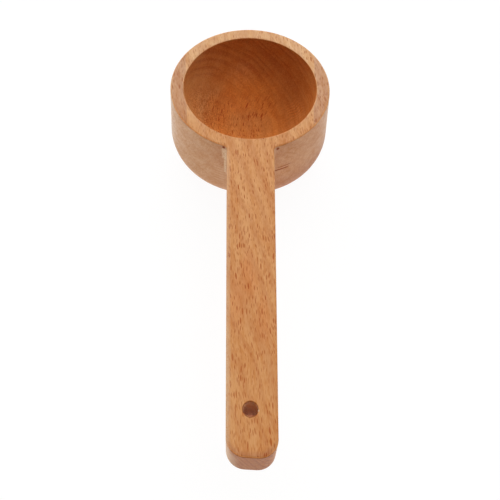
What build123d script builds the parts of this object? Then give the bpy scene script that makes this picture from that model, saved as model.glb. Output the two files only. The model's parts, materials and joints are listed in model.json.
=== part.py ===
from build123d import *
import os

# A beech measuring scoop: a round cup with a bowl turned into it, and a bar handle whose top
# face is level with the rim. The origin is the centre of the cup's flat base, +Z is up and the
# handle runs along -Y. All sizes are in millimetres.

# Cup
rim_radius = 26.0          # outside of the wall, at the rim
cup_height = 28.5
base_spread = 1.4          # how much further out the wall line is at the base than at the rim
foot_rounding = 9.0        # between the wall and the flat base
rim_wall = 4.3             # thickness of the wall at the rim
floor_thickness = 6.5      # under the deepest point of the bowl
lip_rounding = 0.3         # inner edge of the rim

# Handle: a bar that narrows a little towards its end, which is sanded a little askew
handle_reach = 120.3       # from the cup's axis to the handle's end, on the longer right side
end_slant = 0.75           # how much shorter the left side is
handle_root_width = 14.8
handle_tip_width = 13.0
handle_thickness = 13.0
left_corner_radius = 5.1   # the end's two corners, seen from above
right_corner_radius = 4.8
edge_rounding = 0.5        # long edges, top and bottom, and the outer edge of the rim
root_rounding = 1.4        # hollow corner where the handle meets the cup's wall

# Hanging hole near the handle's end
hole_diameter = 3.9
hole_from_end = 12.5
hole_offset = 0.4          # how far left of the handle's middle it is drilled
hole_easing = 0.1          # rounding of the hole's two edges

# Joint: the handle's root is let into the wall of the cup and has a stub tenon
housing_depth = 1.2        # how deep the root is let in, from the outside of the rim
housing_margin = 0.4       # what the housing leaves round the root's hollow corners
tenon_width = 8.0
tenon_height = 6.0
tenon_length = 1.8
tenon_rounding = 1.0       # the tenon's long corners
glue_gap = 0.1             # round the tenon in its mortise

# One overrun for every helper that passes through a surface
overrun = 5.0

# Sizes and places that follow from the ones above
base_radius = rim_radius + base_spread
bowl_radius = rim_radius - rim_wall
handle_bottom = cup_height - handle_thickness
handle_middle = cup_height - handle_thickness / 2
hole_y = hole_from_end - handle_reach
housing_radius = rim_radius - housing_depth
housing_half_width = handle_root_width / 2 + root_rounding + housing_margin
housing_bottom = handle_bottom - root_rounding - housing_margin
tenon_tip = housing_radius - tenon_length


# The whole form, shaped in one go so that its edges run on across the joint
with BuildPart() as blank:
    # Outside of the cup
    with BuildSketch(Plane.XZ) as wall_profile:
        with BuildLine():
            Polyline(
                (0, 0),
                (base_radius, 0),
                (rim_radius, cup_height),
                (0, cup_height),
                close=True,
            )
        make_face()
        foot = wall_profile.vertices().group_by(Axis.Y)[0].sort_by(Axis.X)[-1]
        fillet(foot, foot_rounding)
    revolve(axis=Axis.Z)

    # Bar of the handle, with its end corners rounded
    with BuildSketch(Plane.XY.offset(handle_bottom)) as bar_plan:
        with BuildLine():
            Polyline(
                (-handle_root_width / 2, -bowl_radius),
                (handle_root_width / 2, -bowl_radius),
                (handle_tip_width / 2, -handle_reach),
                (-handle_tip_width / 2, end_slant - handle_reach),
                close=True,
            )
        make_face()
        fillet(bar_plan.vertices().sort_by(Axis.Y)[0], right_corner_radius)
        left_side = bar_plan.vertices().filter_by_position(Axis.X, -handle_root_width, 0)
        fillet(left_side.sort_by(Axis.Y)[0], left_corner_radius)
    extrude(amount=handle_thickness)

    # Lower edges of the bar, from one side of the root round its end to the other
    lower_edges = blank.edges().filter_by_position(Axis.Z, handle_bottom, handle_bottom)
    fillet(lower_edges.filter_by_position(Axis.Y, -handle_reach, -base_radius), edge_rounding)

    # Hollow corner round the root: both its sides and its underside
    root_edges = blank.edges().filter_by_position(Axis.Y, -base_radius, -bowl_radius)
    root_edges = root_edges.filter_by_position(
        Axis.Z, handle_bottom, cup_height, inclusive=(True, False)
    )
    fillet(root_edges, root_rounding)

    # Outer edge of the rim and of the handle's top, in one run
    fillet(blank.faces().sort_by(Axis.Z)[-1].outer_wire().edges(), edge_rounding)

    # Bowl: one round arc, level at the deepest point, that runs up to the lip
    with BuildSketch(Plane.XZ):
        with BuildLine():
            TangentArc((0, floor_thickness), (bowl_radius, cup_height), tangent=(1, 0))
            Polyline((bowl_radius, cup_height), (0, cup_height), (0, floor_thickness))
        make_face()
    revolve(axis=Axis.Z, mode=Mode.SUBTRACT)
    fillet(blank.faces().sort_by(Axis.Z)[-1].inner_wires().edges(), lip_rounding)

    # Hanging hole, with both its edges eased
    with Locations((-hole_offset, hole_y, cup_height)):
        Hole(hole_diameter / 2)
    fillet(blank.edges(Select.LAST).filter_by(GeomType.CIRCLE), hole_easing)

# The space that the handle takes: the bar, its hollow corners and its seat in the cup's wall
with BuildPart() as handle_space:
    with BuildSketch(Plane.XY.offset(housing_bottom)):
        Rectangle(2 * housing_half_width, handle_reach + overrun, align=(Align.CENTER, Align.MAX))
        Circle(housing_radius, mode=Mode.SUBTRACT)
    extrude(amount=cup_height - housing_bottom + overrun)

# Handle: its share of the form, with a stub tenon on the hollow shoulder
with BuildPart() as handle:
    add(blank.part)
    add(handle_space.part, mode=Mode.INTERSECT)
    with BuildSketch(Plane.XZ.offset(tenon_tip)):
        with Locations((0, handle_middle)):
            RectangleRounded(tenon_width, tenon_height, tenon_rounding)
    extrude(amount=rim_radius - tenon_tip)

# Cup: the rest of the form, with the housing and the blind mortise in its wall
with BuildPart() as cup:
    add(blank.part)
    add(handle_space.part, mode=Mode.SUBTRACT)
    with BuildSketch(Plane.XZ.offset(tenon_tip - glue_gap)):
        with Locations((0, handle_middle)):
            RectangleRounded(
                tenon_width + 2 * glue_gap, tenon_height + 2 * glue_gap, tenon_rounding + glue_gap
            )
    extrude(amount=rim_radius - tenon_tip, mode=Mode.SUBTRACT)

cup.part.label = "cup"
handle.part.label = "handle"

os.makedirs("parts", exist_ok=True)
export_step(cup.part, "parts/cup.step")
export_step(handle.part, "parts/handle.step")
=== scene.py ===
import json
import math

import bpy
from mathutils import Matrix, Vector


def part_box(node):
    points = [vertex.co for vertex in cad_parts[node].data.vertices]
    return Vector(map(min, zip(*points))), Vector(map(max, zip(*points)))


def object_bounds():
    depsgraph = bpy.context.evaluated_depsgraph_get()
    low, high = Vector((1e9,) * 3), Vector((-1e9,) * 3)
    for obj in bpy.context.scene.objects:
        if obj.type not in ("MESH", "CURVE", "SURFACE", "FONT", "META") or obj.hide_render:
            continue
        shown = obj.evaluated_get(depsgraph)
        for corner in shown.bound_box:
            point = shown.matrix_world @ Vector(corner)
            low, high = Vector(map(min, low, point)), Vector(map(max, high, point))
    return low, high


# Looks for the beech measuring spoon. Everything is in metres, in the frame of the solids:
# the origin is the centre of the cup's flat base, +Z is up and the handle runs along -Y.
# Inside the material, lengths are in millimetres.

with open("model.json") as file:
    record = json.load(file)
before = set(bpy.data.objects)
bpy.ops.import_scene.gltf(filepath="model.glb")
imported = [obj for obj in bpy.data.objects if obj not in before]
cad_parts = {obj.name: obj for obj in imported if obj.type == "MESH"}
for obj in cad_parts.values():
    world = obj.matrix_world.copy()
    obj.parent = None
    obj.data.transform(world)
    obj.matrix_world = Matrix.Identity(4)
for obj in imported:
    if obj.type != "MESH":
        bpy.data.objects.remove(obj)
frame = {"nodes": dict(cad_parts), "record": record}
cad_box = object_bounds()

MM = 0.001                      # one millimetre in metres
WHITE = (1.0, 1.0, 1.0, 1.0)


# Sizes that the material and the camera need, in millimetres, from the frame where it has them

HOLE = next(mount for mount in frame["record"]["mounts"] if mount["name"] == "hanging_hole")
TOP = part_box("cup")[1].z / MM
HANDLE_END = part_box("handle")[0].y / MM
HOLE_X, HOLE_Y = (value / MM for value in HOLE["pos_m"][:2])
HOLE_RADIUS = HOLE["dims"]["r_mm"]
BOWL_RADIUS = 21.7
CUP_RADIUS = 26.0
EDGE_ROUNDING = 0.5
HANDLE_NARROWS = 0.0091         # how much the handle's side comes in, for each millimetre along it
HANDLE_LEFT = 7.6               # half its width, if its left side ran on to the cup's axis


# Node graphs

class Graph:
    """The node tree of a material or a world, with short ways to add a node and join it."""

    def __init__(self, owner):
        owner.use_nodes = True
        self.tree = owner.node_tree
        self.tree.nodes.clear()

    def feed(self, socket, value):
        if isinstance(value, bpy.types.NodeSocket):
            self.tree.links.new(value, socket)
        else:
            socket.default_value = value

    def node(self, kind, inputs=(), **settings):
        made = self.tree.nodes.new(kind)
        for key, value in settings.items():
            setattr(made, key, value)
        for key, value in dict(inputs).items():
            self.feed(made.inputs[key], value)
        return made

    def math(self, operation, *values):
        made = self.node("ShaderNodeMath", operation=operation)
        for socket, value in zip(made.inputs, values):
            self.feed(socket, value)
        return made.outputs[0]

    def add(self, first, *others):
        for other in others:
            first = self.math("ADD", first, other)
        return first

    def times(self, first, *others):
        for other in others:
            first = self.math("MULTIPLY", first, other)
        return first

    def without(self, share):
        return self.math("SUBTRACT", 1.0, share)

    def vector(self, x, y, z):
        return self.node("ShaderNodeCombineXYZ", {"X": x, "Y": y, "Z": z}).outputs[0]

    def axes(self, vector):
        return self.node("ShaderNodeSeparateXYZ", {"Vector": vector}).outputs

    def outwards(self, x, z, tilt):
        """How far x and z lead along a way that is tilted from +Z towards +X."""
        return self.add(self.times(x, math.sin(tilt)), self.times(z, math.cos(tilt)))

    def sideways(self, x, z, tilt):
        """How far they lead across that way."""
        return self.math("SUBTRACT", self.times(x, math.cos(tilt)), self.times(z, math.sin(tilt)))

    def distance(self, at, place):
        parts = [self.math("SUBTRACT", value, centre) for value, centre in zip(at, place)]
        return self.math("SQRT", self.add(*(self.times(part, part) for part in parts)))

    def step(self, value, start, end):
        """0 at start and before it, 1 at end and past it, smooth between. Start may be above end."""
        made = self.node(
            "ShaderNodeMapRange",
            {"Value": value, "From Min": start, "From Max": end},
            interpolation_type="SMOOTHSTEP",
        )
        return made.outputs["Result"]

    def within(self, value, low, high, soft):
        """1 from low to high, with a soft border on either side."""
        return self.times(self.step(value, low - soft, low), self.step(value, high + soft, high))

    def spot(self, at, place, radius, soft):
        """1 inside a small ball about a place, with a soft border."""
        return self.step(self.distance(at, place), radius + soft, radius)

    def noise(self, vector, detail=1.0, roughness=0.5):
        """Noise about zero, mostly between -0.25 and 0.25, whose grains are one unit of vector."""
        made = self.node(
            "ShaderNodeTexNoise",
            {"Vector": vector, "Scale": 1.0, "Detail": detail, "Roughness": roughness},
        )
        return self.math("SUBTRACT", made.outputs["Fac"], 0.5)

    def mix(self, share, first, second, blend="MIX"):
        made = self.node("ShaderNodeMix", data_type="RGBA", blend_type=blend)
        colours = [socket for socket in made.inputs if socket.type == "RGBA"]
        self.feed(made.inputs[0], share)
        self.feed(colours[0], first)
        self.feed(colours[1], second)
        return next(socket for socket in made.outputs if socket.type == "RGBA")

    def tint(self, share, colour, factors):
        """The colour with its red, green and blue multiplied, where share is 1."""
        return self.mix(share, colour, (*factors, 1.0), "MULTIPLY")

    def shown_rays(self):
        """1 for what the camera sees, by itself, as a mirror image or through glass, and 0 for light."""
        path = self.node("ShaderNodeLightPath").outputs
        seen = self.math("MAXIMUM", path["Is Camera Ray"], path["Is Glossy Ray"])
        return self.math("MAXIMUM", seen, path["Is Transmission Ray"])


def linear(red, green, blue):
    """A colour given in a picture's 0 to 255 values, as Blender's linear light."""
    def one(value):
        value = value / 255
        return value / 12.92 if value <= 0.04045 else ((value + 0.055) / 1.055) ** 2.4
    return (one(red), one(green), one(blue), 1.0)


# Beech: how the blank lay in the tree

RING_TILT = math.radians(46)    # from +Z towards +X: the way from the heart of the tree outwards
HEART_AWAY = 80.0               # how far off the heart lies
RING_STEP = 2.7                 # from one yearly ring to the next
END_TILT = math.radians(70)     # the tilt and the step at the handle's end, nearer the heart
END_RING_STEP = 1.4
GRAIN_LEAN = 0.28               # how far the rings run aslant, for each millimetre along the handle

# Beech: noises that follow the tree. Each has the size of its cells, in millimetres round the
# tree, along the grain and outwards. Flecks also have their size as a share of the cell, and how
# strong they are.

STREAK_CELL = (0.55, 7.0, 1.2)
DRIFT_CELL = (2.6, 24.0, 3.0)
FIBRE_CELL = (0.20, 1.7, 0.4)
RAY_CELL = (0.28, 1.6, 4.0)
BOLD_FLECKS = ((0.46, 3.3, 7.0), 0.34, 0.95)
SMALL_FLECKS = ((0.35, 2.3, 5.0), 0.36, 0.75)

# Beech: noises that follow the spoon. Each has its number of grains to a millimetre of X, Y and Z.

CLOUD_GRAINS = (0.16, 0.10, 0.16)
FUZZ_GRAINS = (2.2, 2.2, 1.5)
SPECKLE_GRAINS = (2.2, 1.9, 2.2)
RIPPLED_GRAINS = (0.30, 0.25, 0.30)
BANDED_GRAINS = (0.11, 0.11, 0.11)
WAVE_GRAINS = (0.10, 0.09, 0.10)
WOBBLE_GRAINS = (0.09, 0.02, 0.09)

# Beech: how many millimetres a noise of 1 moves something

WAVE_OUT = 2.6                  # the rings, outwards from the heart
WAVE_ROUND = 1.2                # and round it
WOBBLE = 3.0                    # the rings, outwards, by a noise that is long in the grain
END_WOBBLE = 2.0                # the rings at the handle's end
BOWL_CLOUD = 8.0                # the borders of the oil's colours across the bowl
STREAK_CLOUD = 3.0              # the redder streaks, sideways
RIPPLE_WAVE = 2.5               # the ripples, along the handle

# Beech: a yearly ring. Its parts are in shares of the ring, from the inside out.

RING_UNEVEN_GRAINS = 0.22       # to a millimetre outwards
RING_UNEVEN = 2.4               # how many rings a noise of 1 moves the next one
RING_SLOW = (0.1, 0.9)          # where it darkens slowly
RING_BAND_STARTS = (0.40, 0.80)
RING_BAND_ENDS = (1.0, 0.84)
SLOW_SHARE = 0.4
BAND_SHARE = 0.6

# Beech: ripples, where a cut runs along the rays

RIPPLE_STEP = 1.20              # from one ripple to the next
RIPPLE_UNEVEN_GRAINS = (0.45, 0.25)     # to a millimetre outwards and along
RIPPLE_CREST = (-0.4, 0.9)      # from where to where on its wave a ripple grows silver
RIPPLED = (-0.05, 0.12)         # the same on the noise that says where there are ripples
RIPPLES_MOST = ((15.5, 3.0, 15.0), 2.5, 4.0)    # where they show most: place, radius, soft border
RIPPLES_ELSEWHERE = 0.4
SILVER_TINT = (1.22, 1.26, 1.32)

# Beech: flecks

FLECK_RANDOM = 0.85             # how irregularly they lie
FLECK_SOFT = 0.07               # the soft border of a fleck, in cells
FLECK_FAINTEST = 0.25
FLECK_HIDDEN = 0.95             # how much of them is hidden where the cut runs along the rays

# Beech: colours

PALE = linear(225, 165, 107)
TAN = linear(207, 134, 70)
LATE_WOOD = linear(174, 90, 42)     # the dark part of a ring
FLECK = linear(171, 76, 8)          # a ray, cut across
RAY = linear(228, 172, 116)         # a ray, seen along its length
SPECK = linear(240, 177, 119)       # a raised grain in the bowl
PALE_BARE_AND_LIT = linear(222, 188, 154)         # pale: where the finish is thin at scraped places, a pale strip at the handle's root, and painted light on the handle's left edge, its end corner and at the hole
DARK_MARK_AND_SHADE = linear(148, 62, 4)         # dark: score lines of the cutter, a spot on the rim, and painted shade in the corners at the handle's root

# Beech: from which value of a noise to which one another colour takes over. A share says how far
# it does so, where that isn't all the way.

TAN_FROM = (0.05, 0.95)
BANDED_FROM = (-0.16, 0.10)     # stronger rings in the bowl
RAY_FROM = (0.02, 0.25)
RAY_SHARE = 0.18
MOTTLE_FROM = (-0.1, 0.3)
SPECK_FROM = (0.0, 0.2)         # raised grains in the bowl
PIT_FROM = (-0.02, -0.2)        # and the darker places between them
PIT_SHARE = 0.7

# Beech: sums. Each has how many times the values named count in it, and its base.

TONE = ({"streak": 0.7, "drift": 0.8, "fibre": 0.85}, 0.5)
RING_SHARE = ({"banded": 0.28, "on_wall": -0.10, "at_end": 0.22}, 0.20)
MOTTLE = ({"fuzz": 1.0, "cloud": 0.3}, 0.0)
MOTTLE_SHARE = ({"in_bowl": 0.14}, 0.20)
GRAINY = ({"ring_face": 1.10}, 0.55)
FLECKED = ({"on_wall": -0.55, "on_rim": -0.2, "low_in_bowl": 1.05, "in_bowl": -0.8}, 1.0)
# how strong the painted highlight along the handle's left edge is
LEFT_EDGE_LIGHT_SHARE = ({"far_along": 0.25}, 0.40)
SCRAPED_LINES = ({"z": 2.6, "turn": 0.2, "cloud": 2.0}, 0.0)
RELIEF = ({"fleck": -1.0, "fibre": 0.5, "end_fuzz": 0.8}, 0.0)
ROUGHNESS = (
    {"streak": 0.25, "end_grain": 0.04, "fleck": 0.1, "in_bowl": 0.12, "in_hole": 0.4}, 0.44,
)

# Beech: zones of the spoon. Each has the borders of some values. A border of two numbers gives a
# share of 0 at the first and 1 at the second. One of three is a range, from low to high, with a
# soft border on either side. Facings are 1 where the surface looks that way squarely, and turn is
# in degrees round the cup, 0 at the handle.

END_GRAIN_FRONT = {"facing_front": (0.28, 0.75)}
END_GRAIN_BACK = {"facing_front": (-0.72, -0.98)}
NEAR_RAY_FACE = {"facing_round_tree": (0.80, 0.94)}
RAY_FACE = {"facing_round_tree": (0.93, 0.985)}
RING_FACE = {"facing_out_of_tree": (0.86, 0.98)}
IN_BOWL = {"off_axis": (BOWL_RADIUS + 0.4, BOWL_RADIUS + 0.2), "z": (TOP - 0.02, TOP - 0.12)}
LOW_IN_BOWL = {"z": (19.0, 13.0)}
BANDED_HEIGHT = {"z": (13.0, 18.0)}
ON_CUP = {"off_axis": (CUP_RADIUS + 2.2, CUP_RADIUS + 1.7)}
OUTSIDE = {"off_axis": (BOWL_RADIUS + 1.5, BOWL_RADIUS + 2.0)}
BELOW_EDGE = {"facing_up": (0.80, 0.40)}
LEVEL = {"facing_up": (0.4, 0.9)}
ON_TOP = {"facing_up": (0.95, 0.995)}
AT_END = {"y": (HANDLE_END + 3.5, HANDLE_END + 0.8)}
FAR_ALONG = {"y": (-40.0, -110.0)}
IN_HOLE = {"from_hole": (HOLE_RADIUS + 0.34, HOLE_RADIUS + 0.20)}

HOLE_NARROWER = 1.07            # the hole's painted shade at its edge and painted light inside are narrower across the handle
END_CORNERS = 0.013             # times the cube of X: how far the rounded end comes in
PALE_PATCH = (-2.5, 17.9, 15.5)     # on the bowl's far wall

# Beech: other colours in places. Some are where the oil sank in further; many are painted light, shade and
# sheen, as said at each entry. Each place has the zone that it lies in, its own borders, and what it does
# to red, green and blue.

TINTS_OF_OIL_AND_LIGHT = {
    # darker and redder: partly the oiled end grain, partly painted shade in the bowl
    "bowl": (
        "in_bowl", {}, (0.86, 0.67, 0.42),
    ),
    # painted light on the middle of the bowl's floor
    "middle of the bowl": (
        "in_bowl", {"off_middle": (17.0, 3.0), "z": (18.5, 10.5)}, (1.30, 1.27, 0.97),
    ),
    "pale patch of the bowl's far wall": (
        "in_bowl", {"from_pale_patch": (6.5, 2.0)}, (1.09, 1.16, 1.38),
    ),
    "lowest part of the bowl": (
        "in_bowl", {"z": (8.8, 7.0)}, (0.91, 0.99, 1.22),
    ),
    # painted sheen on the bowl's left wall
    "left wall of the bowl": (
        "in_bowl", {"cloudy_x": (-8.0, -17.0), "z": (10.5, 14.5)}, (1.12, 1.42, 2.05),
    ),
    # paler and greyer: partly the end grain's own colour, partly painted sheen
    "outer wall": (
        "on_wall", {}, (0.89, 1.00, 1.40),
    ),
    # painted sheen where the wall turns away at either side
    "both sides of the outer wall": (
        "on_wall", {"turn_either_way": (85.0, 95.0, 30.0)}, (1.08, 1.32, 1.66),
    ),
    # painted sheen high on the left
    "outer wall, high on the left": (
        "on_wall", {"turn": (-100.0, -82.0, 14.0), "z": (13.0, 21.0)}, (1.02, 1.10, 1.25),
    ),
    # painted light on the wall left of the handle
    "outer wall, left of the handle": (
        "on_wall", {"turn": (-80.0, -35.0, 25.0)}, (1.04, 1.14, 1.22),
    ),
    # painted shade low on the right
    "outer wall, low on the right": (
        "on_wall", {"turn": (25.0, 80.0, 20.0), "z": (16.0, 7.0)}, (0.87, 0.79, 0.83),
    ),
    # painted sheen on the far part of the rim
    "far part of the rim": (
        "on_rim", {"y": (-26.0, 4.0)}, (1.07, 1.30, 1.68),
    ),
    # darker: partly the oiled end grain, partly painted shade
    "end of the handle": (
        "at_end", {}, (0.68, 0.53, 0.37),
    ),
    "handle's top beside its end": (
        "on_top", {"from_end": (2.2, 0.6)}, (0.83, 0.79, 0.90),
    ),
    # painted shade at the mouth of the hole
    "edge of the hole": (
        "in_hole", {"z": (TOP - 0.4, TOP - 0.15)}, (0.52, 0.40, 0.33),
    ),
    # painted light on the hole's wall
    "wall of the hole": (
        "in_hole", {"z": (TOP - 0.15, TOP - 0.6)}, (1.28, 1.80, 3.30),
    ),
    # less of that painted light deep in the hole
    "deep in the hole": (
        "in_hole", {"z": (TOP - 6.0, TOP - 12.0)}, (0.68, 0.48, 0.38),
    ),
}

# Beech: redder streaks on the handle's top, with the X and Y of each and how strong it is

WARM_STREAKS = ((-0.4, -69.5, 1.0), (-4.2, -78.0, 0.8), (3.3, -82.5, 0.9))
WARM_TINT = (0.97, 0.84, 0.75)
WARM_LENGTH = 0.3               # how far a millimetre along counts, beside one across
WARM_RADIUS = 0.5
WARM_SOFT = 3.0

# Beech: painted light on the edges, along the handle's left edge and on its end's left corner

# painted light on the edge roundings that face the front
PAINTED_EDGE_LIGHT = {
    "z": (TOP - EDGE_ROUNDING, TOP), "facing_up": (0.995, 0.85), "facing_front": (0.0, 0.4),
}
EDGE_LIGHT_TINT = (1.32, 1.20, 1.15)
# painted highlight along the handle's left edge
PAINTED_LEFT_EDGE_LIGHT = {"from_left_side": (1.5, 0.4), "fuzz": (-0.4, 0.2), "y": (-24.0, -27.0)}
# painted light on the left corner of the handle's end
PAINTED_END_CORNER_LIGHT = {
    "y": (HANDLE_END + 8.0, HANDLE_END + 4.0), "x": (-2.5, -5.5), "z": (TOP - 0.5, TOP - 5.0),
}
END_CORNER_LIGHT_SHARE = 0.45

# Beech: left and right of the handle's root, a pale strip, marks of the cutter and painted shade in the
# corners, and a painted glint on the hole's edge

# a pale strip left of the handle's root
STRIP_NARROW = {"x": (-8.20, -7.75, 0.2), "z": (16.3, 24.0, 0.8)}
STRIP_WIDE = {"x": (-8.75, -7.7, 0.4), "z": (23.0, 26.7, 0.9)}
STRIP = {"y": (-26.4, -24.0, 0.3), "speckle": (-0.30, 0.10)}
STRIP_TINT = (1.10, 1.14, 1.10)
SCRAPED = {"turn": (-24.0, -19.0, 3.0), "z": (13.5, 19.5, 1.0)}
SCRAPED_FROM = (-0.02, 0.14)
SCRAPED_SHARE = 0.50
CHATTER = {"turn": (-24.0, -19.0, 3.0), "z": (11.0, 17.0, 1.5)}
CHATTER_STEP = 1.2
CHATTER_FROM = (0.0, 0.9)
CHATTER_SHARE = 0.45
DEEP_LINE = {"z": (16.6, 16.85, 0.2), "turn": (19.0, 26.5, 3.0)}
FAINT_LINE = {"z": (17.75, 17.95, 0.2), "turn": (21.5, 28.5, 3.0)}
FAINT_SHARE = 0.7
SHADED_CORNERS_AND_SPOT = (                    # place, radius and soft border: painted shade in the two corners at the handle's root, and a dark spot on the rim
    ((-8.30, -24.70, 27.70), 0.25, 0.5),
    ((8.50, -24.60, 27.3), 0.22, 0.55),
    ((4.0, -21.55, 28.4), 0.15, 0.3),
)
# a painted glint on the right edge of the hole
GLINT_AT_HOLE = ((HOLE_X + HOLE_RADIUS + 0.1, HOLE_Y - 0.4, TOP - 0.1), 0.1, 0.3)

# Beech: the satin finish

BUMP_STRENGTH = 0.35
BUMP_DEPTH = 0.05 * MM
IOR = 1.45
SPECULAR = 0.22


class Beech:
    """The wood as a solid pattern: every value is worked out from the place in the blank."""

    def __init__(self, material):
        g = self.g = Graph(material)
        coordinates = g.node("ShaderNodeTexCoord").outputs
        metres = g.axes(coordinates["Object"])
        self.x, self.y, self.z = (g.math("DIVIDE", metres[axis], MM) for axis in "XYZ")
        self.here = (self.x, self.y, self.z)
        self.off_axis = g.math("SQRT", g.add(g.times(self.x, self.x), g.times(self.y, self.y)))
        towards_handle = g.times(self.y, -1.0)
        self.turn = g.times(g.math("ARCTAN2", self.x, towards_handle), math.degrees(1.0))
        self.read_faces(g.axes(coordinates["Normal"]))
        self.place_in_tree()
        self.mark_zones()
        self.make_patterns()
        self.measure()

    def share(self, borders, *shares):
        """The product of the shares given and of the one that each value named has by its border."""
        g = self.g
        parts = list(shares)
        for name, border in borders.items():
            soft_border = g.step if len(border) == 2 else g.within
            parts.append(soft_border(getattr(self, name), *border))
        return g.times(*parts)

    def total(self, weights, base):
        """The values named, each as many times as its weight says, and the base."""
        g = self.g
        parts = [g.times(getattr(self, name), weight) for name, weight in weights.items()]
        return g.add(*parts, base)

    def read_faces(self, facing):
        """How the surface cuts the wood: across the grain, along the rays or along the rings."""
        g = self.g
        self.facing_up = facing["Z"]
        self.facing_front = g.times(facing["Y"], -1.0)
        across_tree = g.sideways(facing["X"], facing["Z"], RING_TILT)
        self.facing_round_tree = g.math("ABSOLUTE", across_tree)
        self.facing_out_of_tree = g.outwards(facing["X"], facing["Z"], RING_TILT)
        self.end_grain = g.math("MAXIMUM", self.share(END_GRAIN_FRONT), self.share(END_GRAIN_BACK))
        self.side_grain = g.without(self.end_grain)
        self.near_ray_face = self.share(NEAR_RAY_FACE)
        self.ray_face = self.share(RAY_FACE)
        self.ring_face = self.share(RING_FACE)

    def place_in_tree(self):
        """Where a point lies out from the heart of the tree, and round it. The grain waves a little."""
        g = self.g
        wave = g.noise(self.scaled(*WAVE_GRAINS))
        wobble = g.noise(self.scaled(*WOBBLE_GRAINS))
        leaning_x = g.add(self.x, g.times(self.y, GRAIN_LEAN), g.times(wave, WAVE_OUT))
        outwards = g.add(
            g.outwards(leaning_x, self.z, RING_TILT), g.times(wobble, WOBBLE), HEART_AWAY
        )
        sideways = g.add(g.sideways(self.x, self.z, RING_TILT), g.times(wave, WAVE_ROUND))
        self.out = g.math("SQRT", g.add(g.times(outwards, outwards), g.times(sideways, sideways)))
        self.around = g.times(g.math("ARCTAN2", sideways, outwards), HEART_AWAY)

    def mark_zones(self):
        """Shares that are 1 in one region of the spoon and 0 elsewhere."""
        g = self.g
        self.in_bowl = self.share(IN_BOWL)
        self.low_in_bowl = self.share(LOW_IN_BOWL, self.in_bowl)
        on_cup = self.share(ON_CUP)
        self.outside = self.share(OUTSIDE)
        self.below_edge = self.share(BELOW_EDGE)
        self.on_wall = g.times(on_cup, self.outside, self.below_edge)
        self.on_rim = self.share(LEVEL, on_cup, g.without(self.in_bowl))
        self.on_top = self.share(ON_TOP)
        self.at_end = self.share(AT_END, self.below_edge)
        self.far_along = self.share(FAR_ALONG)
        across = g.times(g.math("SUBTRACT", self.x, HOLE_X), HOLE_NARROWER)
        self.from_hole = g.distance((across, self.y), (0.0, HOLE_Y))
        self.in_hole = self.share(IN_HOLE)

    def stretched(self, across, along, outwards):
        """Coordinates whose unit is that many millimetres round the tree, along the grain and outwards."""
        g = self.g
        return g.vector(
            g.math("DIVIDE", self.around, across),
            g.math("DIVIDE", self.y, along),
            g.math("DIVIDE", self.out, outwards),
        )

    def scaled(self, x, y, z):
        """Coordinates with so many grains to a millimetre along each axis."""
        g = self.g
        return g.vector(g.times(self.x, x), g.times(self.y, y), g.times(self.z, z))

    def rings(self, out, ring_step):
        """Yearly rings: each darkens slowly and ends in a soft dark band."""
        g = self.g
        uneven = g.noise(g.vector(g.times(out, RING_UNEVEN_GRAINS), 0.0, 0.0))
        years = g.add(g.math("DIVIDE", out, ring_step), g.times(uneven, RING_UNEVEN))
        season = g.math("FRACT", years)
        slow = g.step(season, *RING_SLOW)
        band = g.times(g.step(season, *RING_BAND_STARTS), g.step(season, *RING_BAND_ENDS))
        return g.add(g.times(slow, SLOW_SHARE), g.times(band, BAND_SHARE))

    def flecks(self, cell, size, strength):
        """Ray flecks: spindles in the wood, of all sizes up to the given share of their cell."""
        g = self.g
        cells = g.node(
            "ShaderNodeTexVoronoi",
            {"Vector": self.stretched(*cell), "Scale": 1.0, "Randomness": FLECK_RANDOM},
        )
        chance = g.node("ShaderNodeSeparateColor", {"Color": cells.outputs["Color"]}).outputs
        reach = g.math("MULTIPLY_ADD", chance["Red"], 0.5 * size, 0.5 * size)
        inwards = g.math("SUBTRACT", cells.outputs["Distance"], reach)
        inside = g.step(inwards, FLECK_SOFT, -FLECK_SOFT)
        dark = g.math("MULTIPLY_ADD", chance["Green"], 1.0 - FLECK_FAINTEST, FLECK_FAINTEST)
        return g.times(inside, dark, strength)

    def ripples(self):
        """Ripples across the rays, which show most at one place on the bowl's right wall."""
        g = self.g
        out_grains, along_grains = RIPPLE_UNEVEN_GRAINS
        place = g.vector(g.times(self.out, out_grains), g.times(self.y, along_grains), 0.0)
        uneven = g.noise(place, detail=2.0)
        along = g.add(self.y, g.times(uneven, RIPPLE_WAVE))
        ripple = g.math("SINE", g.times(along, math.tau / RIPPLE_STEP))
        rippled = g.step(g.noise(self.scaled(*RIPPLED_GRAINS), detail=2.0), *RIPPLED)
        rippled = g.math(
            "MAXIMUM", g.times(rippled, RIPPLES_ELSEWHERE), g.spot(self.here, *RIPPLES_MOST)
        )
        return g.times(g.step(ripple, *RIPPLE_CREST), rippled)

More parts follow.
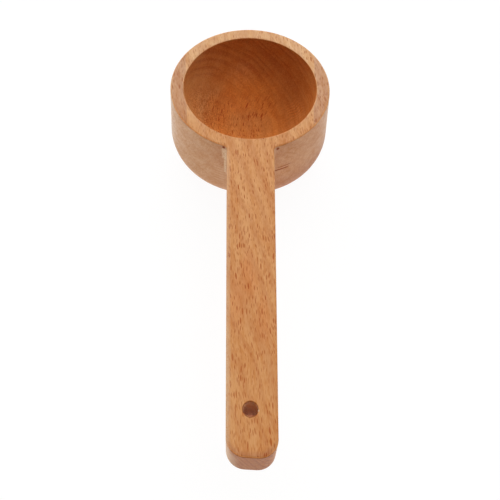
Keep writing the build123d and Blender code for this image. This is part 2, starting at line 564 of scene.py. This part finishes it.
    def make_patterns(self):
        """Noises, rings, ripples and flecks, each worked out once for all that needs it."""
        g = self.g
        self.cloud = g.noise(self.scaled(*CLOUD_GRAINS), detail=2.0)
        self.fuzz = g.noise(self.scaled(*FUZZ_GRAINS), detail=3.0, roughness=0.65)
        self.speckle = g.noise(self.scaled(*SPECKLE_GRAINS), detail=3.0, roughness=0.75)
        self.streak = g.noise(self.stretched(*STREAK_CELL), detail=2.0)
        self.drift = g.noise(self.stretched(*DRIFT_CELL))
        self.fibre = g.noise(self.stretched(*FIBRE_CELL))
        self.ray = g.noise(self.stretched(*RAY_CELL))
        self.end_fuzz = g.times(self.fuzz, self.end_grain)
        out_at_end = g.add(g.outwards(self.x, self.z, END_TILT), g.times(self.cloud, END_WOBBLE))
        self.ring = g.add(
            g.times(self.rings(self.out, RING_STEP), g.without(self.at_end)),
            g.times(self.rings(out_at_end, END_RING_STEP), self.at_end),
        )
        banded = g.step(g.noise(self.scaled(*BANDED_GRAINS)), *BANDED_FROM)
        self.banded = self.share(BANDED_HEIGHT, self.end_grain, self.in_bowl, banded)
        self.ripple = g.times(self.ripples(), self.ray_face, self.side_grain)
        fleck = g.math("MAXIMUM", self.flecks(*BOLD_FLECKS), self.flecks(*SMALL_FLECKS))
        seen = g.without(g.times(self.near_ray_face, FLECK_HIDDEN))
        self.fleck = g.times(fleck, self.side_grain, seen, self.total(*FLECKED))

    def measure(self):
        """Distances from lines and places of the spoon, for the borders of the finish."""
        g = self.g
        self.turn_either_way = g.math("ABSOLUTE", self.turn)
        self.cloudy_x = g.add(self.x, g.times(self.cloud, BOWL_CLOUD))
        self.off_middle = g.math("ABSOLUTE", self.cloudy_x)
        self.from_pale_patch = g.distance(self.here, PALE_PATCH)
        self.from_left_side = g.add(self.x, g.times(self.y, HANDLE_NARROWS), HANDLE_LEFT)
        cubed = g.math("POWER", g.math("ABSOLUTE", self.x), 3.0)
        end_here = g.add(g.times(cubed, END_CORNERS), HANDLE_END)
        self.from_end = g.math("SUBTRACT", self.y, end_here)

    def sound_wood(self):
        """Bare colour of the wood, with its rings, rays and flecks."""
        g = self.g
        colour = g.mix(g.step(self.total(*TONE), *TAN_FROM), PALE, TAN)
        rings = g.times(self.ring, self.total(*RING_SHARE))
        colour = g.mix(rings, colour, LATE_WOOD)
        rays = g.times(g.step(self.ray, *RAY_FROM), self.end_grain, RAY_SHARE)
        colour = g.mix(rays, colour, RAY)
        mottle = g.step(self.total(*MOTTLE), *MOTTLE_FROM)
        mottle = g.times(mottle, self.end_grain, self.total(*MOTTLE_SHARE))
        colour = g.mix(mottle, colour, LATE_WOOD)
        colour = g.tint(self.ripple, colour, SILVER_TINT)
        grainy = g.times(self.total(*GRAINY), self.in_bowl)
        specks = g.times(grainy, g.step(self.speckle, *SPECK_FROM))
        colour = g.mix(specks, colour, SPECK)
        pits = g.times(grainy, g.step(self.speckle, *PIT_FROM), PIT_SHARE)
        colour = g.mix(pits, colour, LATE_WOOD)
        return g.mix(self.fleck, colour, FLECK)

    def finish(self, colour):
        """The oil sank in more in some places than in others; in others light, shade and sheen are painted
        on. Redder streaks on the handle too.
        """
        g = self.g
        for zone, borders, factors in TINTS_OF_OIL_AND_LIGHT.values():
            colour = g.tint(self.share(borders, getattr(self, zone)), colour, factors)
        cloudy_x = g.add(self.x, g.times(self.cloud, STREAK_CLOUD))
        for x, y, strength in WARM_STREAKS:
            across = g.math("SUBTRACT", cloudy_x, x)
            along = g.times(g.math("SUBTRACT", self.y, y), WARM_LENGTH)
            streak = g.spot((across, along), (0.0, 0.0), WARM_RADIUS, WARM_SOFT)
            colour = g.tint(g.times(streak, strength), colour, WARM_TINT)
        return colour

    def painted_edge_light(self, colour):
        """Painted light: on the edge roundings, paler towards the front, along the handle's left edge and
        on the left corner of its end.
        """
        g = self.g
        # painted light on the edge roundings that face the front
        colour = g.tint(self.share(PAINTED_EDGE_LIGHT, g.without(self.in_bowl)), colour, EDGE_LIGHT_TINT)
        # painted highlight along the handle's left edge
        side = self.share(PAINTED_LEFT_EDGE_LIGHT, self.total(*LEFT_EDGE_LIGHT_SHARE))
        colour = g.mix(side, colour, PALE_BARE_AND_LIT)
        # painted light on the left corner of the handle's end
        corner = self.share(PAINTED_END_CORNER_LIGHT, self.below_edge)
        return g.mix(g.times(corner, END_CORNER_LIGHT_SHARE), colour, PALE_BARE_AND_LIT)

    def root_marks_shade_and_glint(self, colour):
        """Round the handle's root: a pale strip, scraped places and score lines of the cutter, and painted
        shade in the corners; a dark spot on the rim and a painted glint at the hole.
        """
        g = self.g
        strip = g.math("MAXIMUM", self.share(STRIP_NARROW), self.share(STRIP_WIDE))
        strip = self.share(STRIP, strip)
        lines = g.noise(g.vector(self.total(*SCRAPED_LINES), 0.0, 0.0))
        scraped = self.share(SCRAPED, g.step(lines, *SCRAPED_FROM), self.on_wall)
        wave = g.math("SINE", g.times(self.z, math.tau / CHATTER_STEP))
        chatter = self.share(CHATTER, g.step(wave, *CHATTER_FROM), self.on_wall)
        bare = g.math("MAXIMUM", g.times(scraped, SCRAPED_SHARE), g.times(chatter, CHATTER_SHARE))
        colour = g.mix(g.math("MAXIMUM", strip, bare), colour, PALE_BARE_AND_LIT)
        colour = g.tint(strip, colour, STRIP_TINT)
        # painted glint on the hole's edge
        colour = g.mix(g.spot(self.here, *GLINT_AT_HOLE), colour, PALE_BARE_AND_LIT)
        # painted shade in the two corners at the handle's root, and a dark spot on the rim
        shade_in_corners_and_spot = g.add(*(g.spot(self.here, *place) for place in SHADED_CORNERS_AND_SPOT))
        deep_line = self.share(DEEP_LINE, self.outside)
        faint_line = g.times(self.share(FAINT_LINE, self.outside), FAINT_SHARE)
        marks_and_shade = g.math("MINIMUM", g.add(shade_in_corners_and_spot, deep_line, faint_line), 1.0)
        return g.mix(marks_and_shade, colour, DARK_MARK_AND_SHADE)

    def surface(self, colour):
        """Joins the colour with the satin finish and the fine relief of the grain."""
        g = self.g
        bump = g.node(
            "ShaderNodeBump",
            {"Strength": BUMP_STRENGTH, "Distance": BUMP_DEPTH, "Height": self.total(*RELIEF)},
        )
        shader = g.node(
            "ShaderNodeBsdfPrincipled",
            {
                "Base Color": colour,
                "Roughness": self.total(*ROUGHNESS),
                "IOR": IOR,
                "Specular IOR Level": SPECULAR,
                "Normal": bump.outputs["Normal"],
            },
        )
        g.node("ShaderNodeOutputMaterial", {"Surface": shader.outputs["BSDF"]})


def beech():
    material = bpy.data.materials.new("beech")
    pattern = Beech(material)
    colour = pattern.sound_wood()
    colour = pattern.finish(colour)
    colour = pattern.painted_edge_light(colour)
    colour = pattern.root_marks_shade_and_glint(colour)
    pattern.surface(colour)
    return material


def dress(node, material):
    """Puts the material on a solid of the frame."""
    slots = frame["nodes"][node].data.materials
    slots.clear()
    slots.append(material)


# Stage: a white floor that glows a little, as on a light table, in a white room

FLOOR_HALF = 4.0                # half the length of its side
FLOOR_CLEAR = 0.02 * MM         # between the base and the floor
FLOOR_COLOUR = (0.82, 0.82, 0.82, 1.0)
FLOOR_GLOW = 0.67               # what it gives the spoon, where a paper white is 1
FLOOR_SHOWN = 0.94              # how much plain white is seen on it, whatever the light
FLOOR_SHADE = (0.085, 0.085, 0.085, 1.0)    # how much of the lamps' light, with its shadow
ROOM_LIGHT = 0.14               # what the room gives the spoon


def floor():
    mesh = bpy.data.meshes.new("floor")
    half = FLOOR_HALF
    corners = [(-half, -half, 0.0), (half, -half, 0.0), (half, half, 0.0), (-half, half, 0.0)]
    mesh.from_pydata(corners, [], [(0, 1, 2, 3)])
    made = bpy.data.objects.new("floor", mesh)
    made.location.z = cad_box[0][2] - FLOOR_CLEAR
    bpy.context.scene.collection.objects.link(made)

    material = bpy.data.materials.new("floor_white")
    g = Graph(material)
    matt = g.node("ShaderNodeBsdfDiffuse", {"Color": FLOOR_COLOUR}).outputs[0]
    glow = g.node("ShaderNodeEmission", {"Color": WHITE, "Strength": FLOOR_GLOW}).outputs[0]
    lit = g.node("ShaderNodeAddShader", {0: matt, 1: glow}).outputs[0]
    shade = g.node("ShaderNodeBsdfDiffuse", {"Color": FLOOR_SHADE}).outputs[0]
    white = g.node("ShaderNodeEmission", {"Color": WHITE, "Strength": FLOOR_SHOWN}).outputs[0]
    shown = g.node("ShaderNodeAddShader", {0: shade, 1: white}).outputs[0]
    mixed = g.node("ShaderNodeMixShader", {0: g.shown_rays(), 1: lit, 2: shown}).outputs[0]
    g.node("ShaderNodeOutputMaterial", {"Surface": mixed})
    mesh.materials.append(material)


def room():
    made = bpy.data.worlds.new("room")
    bpy.context.scene.world = made
    g = Graph(made)
    lit = g.node("ShaderNodeBackground", {"Color": WHITE, "Strength": ROOM_LIGHT}).outputs[0]
    white = g.node("ShaderNodeBackground", {"Color": WHITE, "Strength": 1.0}).outputs[0]
    mixed = g.node("ShaderNodeMixShader", {0: g.shown_rays(), 1: lit, 2: white}).outputs[0]
    g.node("ShaderNodeOutputWorld", {"Surface": mixed})


# Lamps: soft boxes that face the spoon. For each, the way round it (0 is behind, 90 to its
# right) and up, in degrees, then the distance, width and height in metres, and the watts.

LAMPS = {
    "back": (0, 30, 2.4, 3.0, 1.2, 33.8),
    "back_high": (0, 48, 2.4, 3.0, 1.3, 20.6),
    "back_left": (-60, 16, 2.5, 2.2, 1.1, 12.9),
    "right": (90, 55, 2.4, 2.0, 1.5, 7.8),
    "top": (0, 88, 2.4, 2.0, 2.0, 9.2),
}


def lamps():
    for name, (azimuth, elevation, distance, width, height, watts) in LAMPS.items():
        light = bpy.data.lights.new(name, "AREA")
        light.shape = "RECTANGLE"
        light.size = width
        light.size_y = height
        light.energy = watts
        round_it, up = math.radians(azimuth), math.radians(elevation)
        away = Vector((
            math.sin(round_it) * math.cos(up), math.cos(round_it) * math.cos(up), math.sin(up)
        ))
        made = bpy.data.objects.new(name, light)
        made.location = away * distance
        made.rotation_euler = (-away).to_track_quat("-Z", "Y").to_euler()
        made.visible_camera = False
        bpy.context.scene.collection.objects.link(made)


# Camera

SENSOR = 36.0                                # millimetres, for the full width of the picture
LENS = 51.2                                  # millimetres
CLIP_START = 10 * MM                         # what is nearer than this isn't drawn
AIM_POINT = Vector((-0.2, -61.9, TOP)) * MM  # what the camera points at
DISTANCE = 201.3 * MM
AZIMUTH = math.radians(-2.80)                # 0 looks along +Y
ELEVATION = math.radians(60.08)
ROLL = math.radians(2.95)                    # the camera's own turn about its line of sight
SHIFT = 0.0009                               # half a pixel, right and down in the picture


def camera():
    data = bpy.data.cameras.new("camera")
    data.sensor_width = SENSOR
    data.lens = LENS
    data.clip_start = CLIP_START
    data.shift_x = -SHIFT
    data.shift_y = SHIFT
    made = bpy.data.objects.new("camera", data)
    ahead = Vector((
        -math.sin(AZIMUTH) * math.cos(ELEVATION),
        math.cos(AZIMUTH) * math.cos(ELEVATION),
        -math.sin(ELEVATION),
    ))
    level_right = Vector((math.cos(AZIMUTH), math.sin(AZIMUTH), 0.0))
    level_up = level_right.cross(ahead)
    right = level_right * math.cos(ROLL) + level_up * math.sin(ROLL)
    up = level_up * math.cos(ROLL) - level_right * math.sin(ROLL)
    turn = Matrix((right, up, -ahead)).transposed().to_4x4()
    made.matrix_world = Matrix.Translation(AIM_POINT - ahead * DISTANCE) @ turn
    bpy.context.scene.collection.objects.link(made)
    bpy.context.scene.camera = made


wood = beech()
for node in ("cup", "handle"):
    dress(node, wood)
floor()
room()
lamps()
camera()
bpy.context.scene.view_settings.view_transform = "Standard"
